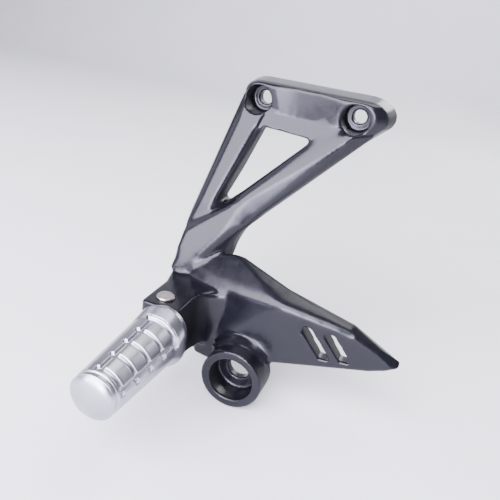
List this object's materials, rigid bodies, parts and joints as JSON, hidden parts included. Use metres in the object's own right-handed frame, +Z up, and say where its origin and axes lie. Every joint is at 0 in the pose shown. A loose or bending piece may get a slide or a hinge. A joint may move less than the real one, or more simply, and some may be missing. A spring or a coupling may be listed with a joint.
{
  "type": "motorcycle passenger foot peg",
  "caption": "Folding passenger foot peg on a K-shaped carrier bracket with an exhaust mounting boss, a slotted fin and a bolt-on bar.",
  "frame": {"origin": "midway between the two mounting holes, on the flat rear mounting face", "axes": "+X from the left mounting hole to the right one, -Y outward from the vehicle along the foot peg, +Z up"},
  "size_m": [0.1503, 0.1726, 0.1838],
  "materials": {
    "bracket_paint": "satin",
    "peg_metal": "satin",
    "pin_steel": "satin",
    "detent_steel": "satin"
  },
  "bodies": {
    "bracket_body": {"bracket": "bracket_paint", "pivot_pin": "pin_steel", "plain_washer": "pin_steel", "split_pin": "pin_steel", "lock_plate": "detent_steel"},
    "peg_body": {"foot_peg": "peg_metal", "lock_ball": "detent_steel", "lock_spring": "detent_steel"}
  },
  "joints": [
    {"name": "peg_fold", "type": "hinge", "parent": "bracket_body", "child": "peg_body", "pos_m": [-0.0435, -0.0927, -0.1275], "axis": [0, 0, 1], "range_deg": [-90, 0]}
  ]
}
